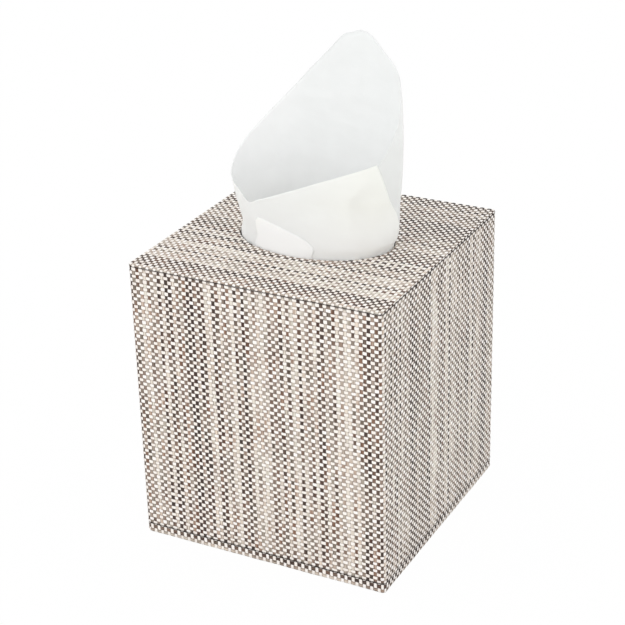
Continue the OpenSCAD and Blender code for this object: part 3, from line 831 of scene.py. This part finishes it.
def sheet_solid(middle, thickness):
    """Points and faces of a thin closed sheet about a grid of middle points."""
    columns, rows = middle.shape[:2]
    along = np.gradient(middle, axis=0)
    up = np.gradient(middle, axis=1)
    normal = np.cross(along, up)
    normal /= np.linalg.norm(normal, axis=-1)[..., None]
    points = np.concatenate([
        (middle - normal * thickness / 2).reshape(-1, 3), (middle + normal * thickness / 2).reshape(-1, 3)])
    index = np.arange(columns * rows).reshape(columns, rows)
    back = index + columns * rows
    front_faces = np.stack([index[:-1, :-1], index[1:, :-1], index[1:, 1:], index[:-1, 1:]], axis=-1)
    back_faces = np.stack([back[:-1, 1:], back[1:, 1:], back[1:, :-1], back[:-1, :-1]], axis=-1)
    loop = np.concatenate([index[:, 0], index[-1, 1:], index[-2::-1, -1], index[0, -2:0:-1]])
    behind = loop + columns * rows
    rim = np.stack([loop, behind, np.roll(behind, -1), np.roll(loop, -1)], axis=1)
    faces = np.concatenate([front_faces.reshape(-1, 4), back_faces.reshape(-1, 4), rim])
    return points, faces


def pulled_tissue():
    """One sheet, curled, from the slit up to its free edge, with a corner folded back at its lower left."""
    turns = np.concatenate([
        np.arange(FIRST_TURN, FLAP_CORNER, -COLUMN_TURN), np.arange(FLAP_CORNER, LAST_TURN, -COLUMN_TURN)])
    below = np.linspace(0, 1, ROWS_BELOW + 1)[:-1]
    above = np.linspace(0, 1, ROWS_ABOVE)
    grid, single, shade = [], [], []
    for turn in turns:
        z = np.concatenate([TAIL_Z + (HOLDER_H - TAIL_Z) * below, HOLDER_H + edge_height(turn) * above])
        # The inner end runs slantwise
        slant = END_SLANT * ease((-360 - turn) / 50) * (1 - ease((z - HOLDER_H) / 25))
        grid.append(tissue_place(turn + slant, z))
        # The sheet lies double where its beginning covers its end. In front the change is gradual.
        cover = HOLDER_H + edge_height(turn + 360) if turn < COVERED_TURN else 0.0
        single.append(ease((z - cover + 2) / 4) if turn < -130 else ease(np.full(len(z), (-20 - turn) / 90)))
        # Where the outer side of the sheet's inner end gets painted shade
        shade.append(np.full(len(z), ease((-300 - turn) / 40)))
    points, faces = sheet_solid(np.array(grid), TISSUE_T)
    inner_side = np.repeat([0.0, 1.0], len(points) // 2)
    single = np.tile(np.array(single).ravel(), 2)
    shade = np.tile(np.array(shade).ravel(), 2)

    # The folded corner lies outside the sheet and its edge stands off a little
    fold_edge = np.array(FOLD_EDGE, float)
    first, last = FOLD_EDGE[0][0], FOLD_EDGE[-1][0]
    layer, pale = [], []
    for turn in np.arange(first, last - 0.01, FOLD_STEP):
        top = HOLDER_H + np.interp(turn, fold_edge[:, 0], fold_edge[:, 1])
        z = np.linspace(HOLDER_H - FOLD_DEPTH, top, 16)
        share = (turn - first) / (last - first)
        stand_off = FOLD_GAP + FOLD_LIFT * share ** 2 * ease((z - top + 4) / 4)
        layer.append(tissue_place(np.full(len(z), turn), z, stand_off))
        # Lighter away from the fold's top edge and towards its right end: partly doubled paper, partly painted
        # light
        pale.append(np.clip(0.1 + 0.7 * ease((top - z) / 6) + 1.2 * share, 0, 1))
    layer_points, layer_faces = sheet_solid(np.array(layer), TISSUE_T)
    faces = np.concatenate([faces, layer_faces + len(points)])
    points = np.concatenate([points, layer_points])
    none = np.zeros(len(layer_points))
    marks = {
        "inner_side": np.concatenate([inner_side, none]),
        "single": np.concatenate([single, none]),
        "shade": np.concatenate([shade, none]),
        "folded_back": np.concatenate([np.zeros(len(inner_side)), np.tile(np.array(pale).ravel(), 2)]),
    }
    return make_piece("curled_tissue", points, faces.tolist(), tissue, marks=marks)


# The studio: half the floor's side, its white, the world's light, and the lamp's place, size and power
FLOOR_HALF = 4000.0
FLOOR_WHITE = 0.98
WORLD_LIGHT = 1.09
KEY_PLACE = (-0.6, -1.2, 0.78)
KEY_SIZE = 0.9
KEY_POWER = 1.75


def seen_directly(tree):
    """1 where the camera looks, also by a reflection or through glass, and 0 for light."""
    path = tree.nodes.new("ShaderNodeLightPath")
    seen = path.outputs["Is Camera Ray"]
    for name in ("Is Glossy Ray", "Is Transmission Ray"):
        larger = tree.nodes.new("ShaderNodeMath")
        larger.operation = "MAXIMUM"
        tree.links.new(seen, larger.inputs[0])
        tree.links.new(path.outputs[name], larger.inputs[1])
        seen = larger.outputs[0]
    return seen


def floor_stage():
    """A wide white floor that keeps the object's shadow and looks nearly as white as the background."""
    half = FLOOR_HALF
    mesh = bpy.data.meshes.new("floor")
    corners = [(-half, -half, 0), (half, -half, 0), (half, half, 0), (-half, half, 0)]
    mesh.from_pydata([tuple(c * MM for c in p) for p in corners], [], [(0, 1, 2, 3)])
    floor = bpy.data.objects.new("floor", mesh)
    bpy.context.scene.collection.objects.link(floor)
    m = Shader("floor")
    m.surface.inputs["Base Color"].default_value = (0.88, 0.88, 0.88, 1)
    m.surface.inputs["Roughness"].default_value = 0.9
    glow = m.node("ShaderNodeEmission")
    glow.inputs["Strength"].default_value = 1.0
    blend = m.node("ShaderNodeMixShader")
    m.join(m.math("MULTIPLY", seen_directly(m.tree), FLOOR_WHITE), blend.inputs[0])
    m.join(m.surface.outputs[0], blend.inputs[1])
    m.join(glow.outputs[0], blend.inputs[2])
    m.join(blend.outputs[0], m.output.inputs["Surface"])
    mesh.materials.append(m.material)


def world_light():
    """White all round for the camera and reflections, and a plain dimmer level as light."""
    world = bpy.data.worlds.new("studio")
    bpy.context.scene.world = world
    world.use_nodes = True
    tree = world.node_tree
    tree.nodes.clear()
    out = tree.nodes.new("ShaderNodeOutputWorld")
    mix = tree.nodes.new("ShaderNodeMixShader")
    tree.links.new(seen_directly(tree), mix.inputs[0])
    for strength, target in ((WORLD_LIGHT, mix.inputs[1]), (1.0, mix.inputs[2])):
        level = tree.nodes.new("ShaderNodeBackground")
        level.inputs["Color"].default_value = (1, 1, 1, 1)
        level.inputs["Strength"].default_value = strength
        tree.links.new(level.outputs[0], target)
    tree.links.new(mix.outputs[0], out.inputs["Surface"])


def area_light(name, place, size, power):
    """A square soft light that looks at the middle of the holder."""
    data = bpy.data.lights.new(name, "AREA")
    data.size = size
    data.energy = power
    lamp = bpy.data.objects.new(name, data)
    lamp.location = place
    aim = Vector((0, 0, HOLDER_H / 2 * MM)) - Vector(place)
    lamp.rotation_euler = aim.to_track_quat("-Z", "Y").to_euler()
    bpy.context.scene.collection.objects.link(lamp)


# The camera, found from the corners of the box in the photograph
AZIMUTH = math.radians(28.081)
ELEVATION = math.radians(25.351)
ROLL = math.radians(-1.611)
DISTANCE = 0.8534
TARGET = Vector((-0.00362, 0, 0.10342))
LENS = 101.47


def place_camera():
    """Looks at the target from the photograph's angle, rolled as the photograph is."""
    back = Vector((
        math.sin(AZIMUTH) * math.cos(ELEVATION), -math.cos(AZIMUTH) * math.cos(ELEVATION), math.sin(ELEVATION)))
    right = (-back).cross(Vector((0, 0, 1))).normalized()
    up = right.cross(-back)
    turned_right = right * math.cos(ROLL) + up * math.sin(ROLL)
    turned_up = up * math.cos(ROLL) - right * math.sin(ROLL)
    data = bpy.data.cameras.new("camera")
    data.lens = LENS
    data.sensor_width = 36
    camera = bpy.data.objects.new("camera", data)
    turn = Matrix((turned_right, turned_up, back)).transposed().to_4x4()
    camera.matrix_world = Matrix.Translation(TARGET + back * DISTANCE) @ turn
    bpy.context.scene.collection.objects.link(camera)
    bpy.context.scene.camera = camera


def dress_nodes():
    """Better materials for the solids that stay as they are."""
    board = paper_material("board", srgb(150, 130, 104), srgb(176, 156, 128), 500.0, 0.85)
    lining = paper_material("lining_paper", srgb(222, 218, 210), srgb(234, 231, 224), 900.0, 0.8)
    card = paper_material("carton_card", srgb(222, 225, 226), srgb(236, 238, 239), 700.0, 0.55)
    folded = paper_material("folded_tissues", srgb(224, 224, 221), srgb(246, 246, 243), 40.0, 0.9, (1, 30, 30))
    looks = {
        "front_board": board, "back_board": board, "left_board": board, "right_board": board,
        "top_board": board, "wall_lining": lining, "top_lining": lining, "tissue_carton": card,
        "slit_film": film_material(), "tissue_stack": folded,
    }
    for node, material in looks.items():
        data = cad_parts[node].data
        data.materials.clear()
        data.materials.append(material)


bpy.context.scene.view_settings.view_transform = "Standard"
place_camera()
cloth = cloth_material()
tissue = tissue_material()
dress_nodes()

walls = wall_cloth()
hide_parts("woven_wall_wrap")

top = top_cloth()
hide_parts("woven_top_cover")

binding = binding_cloth()
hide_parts("woven_bottom_binding")

sheet = pulled_tissue()
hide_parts("pulled_tissue")

floor_stage()
world_light()
area_light("key", KEY_PLACE, KEY_SIZE, KEY_POWER)
